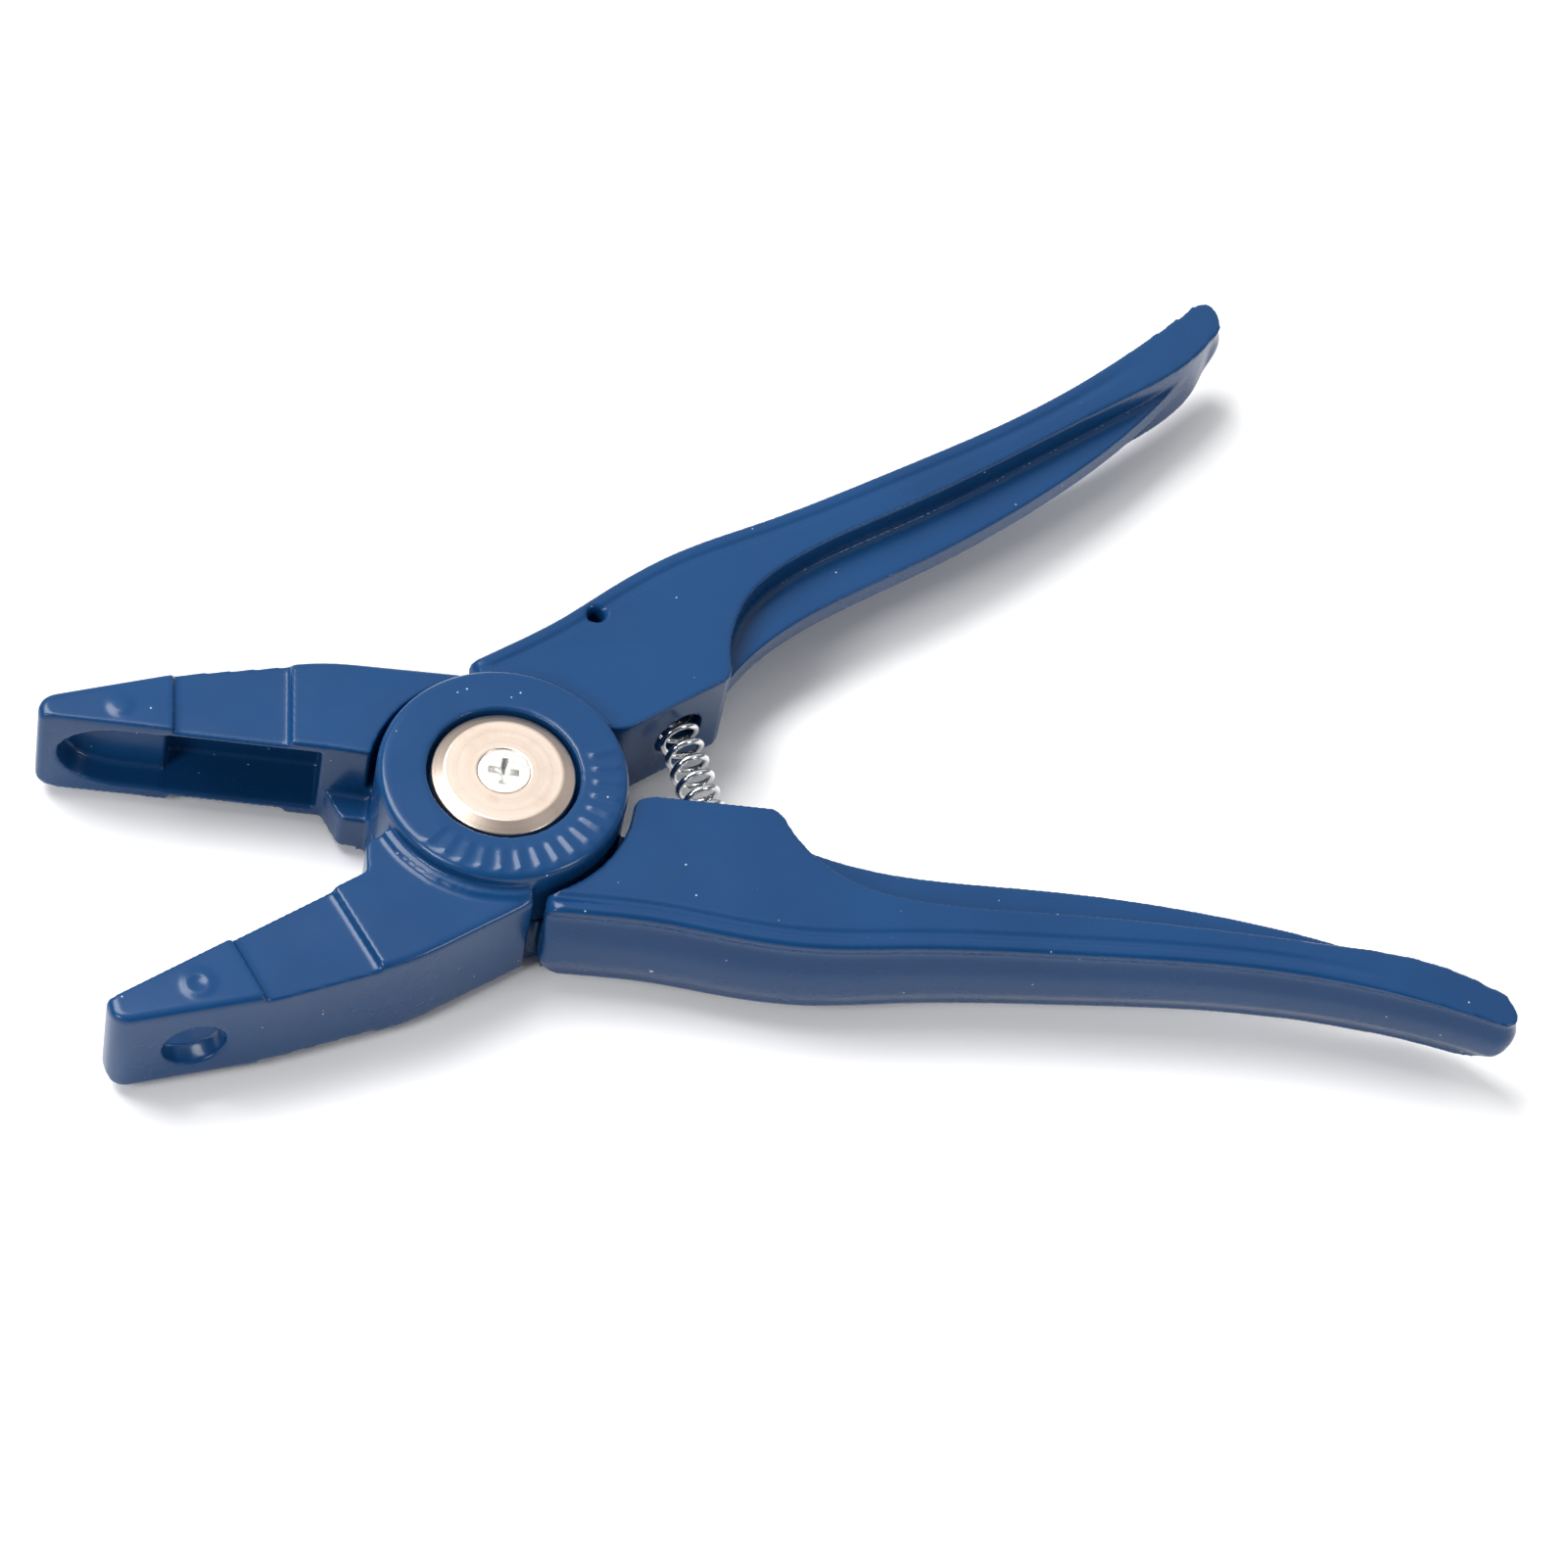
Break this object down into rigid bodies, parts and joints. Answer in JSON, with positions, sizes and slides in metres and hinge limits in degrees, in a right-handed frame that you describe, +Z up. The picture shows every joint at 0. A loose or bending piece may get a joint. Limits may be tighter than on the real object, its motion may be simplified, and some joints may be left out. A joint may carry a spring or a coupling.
{
  "type": "ear tag applicator pliers",
  "caption": "Cast hand pliers whose hollow jaws close a two-piece livestock ear tag; crossed levers turn on a flanged pivot and a coil spring between the handles opens them.",
  "frame": {"origin": "centre of the lower pivot flange's outer face, on the pivot axis, which the tool rests on", "axes": "+Z up along the pivot axis, +X from the pivot towards the handles midway between them with the tool open, +Y towards the handle of the socket lever"},
  "size_m": [0.2271, 0.1568, 0.0265],
  "materials": {
    "blue_paint": "gloss",
    "nickel_plate": "satin",
    "zinc_plate": "bright",
    "plain_steel": "satin",
    "bearing_bronze": "satin"
  },
  "bodies": {
    "socket_side": {"socket_lever": "blue_paint", "socket_bush": "bearing_bronze", "thrust_washer": "plain_steel", "upper_disc_spring": "plain_steel", "lower_disc_spring": "plain_steel", "pivot_barrel": "nickel_plate", "pivot_cap": "nickel_plate", "cap_screw": "zinc_plate", "handle_spring": "zinc_plate"},
    "peg_side": {"peg_lever": "blue_paint", "peg_bush": "bearing_bronze"}
  },
  "joints": [
    {"name": "squeeze", "type": "hinge", "parent": "socket_side", "child": "peg_side", "pos_m": [0, 0, 0.0122], "axis": [0, 0, 1], "range_deg": [-4, 32], "stiffness_Nm_per_rad": 5.5, "deforming": ["handle_spring"]}
  ]
}
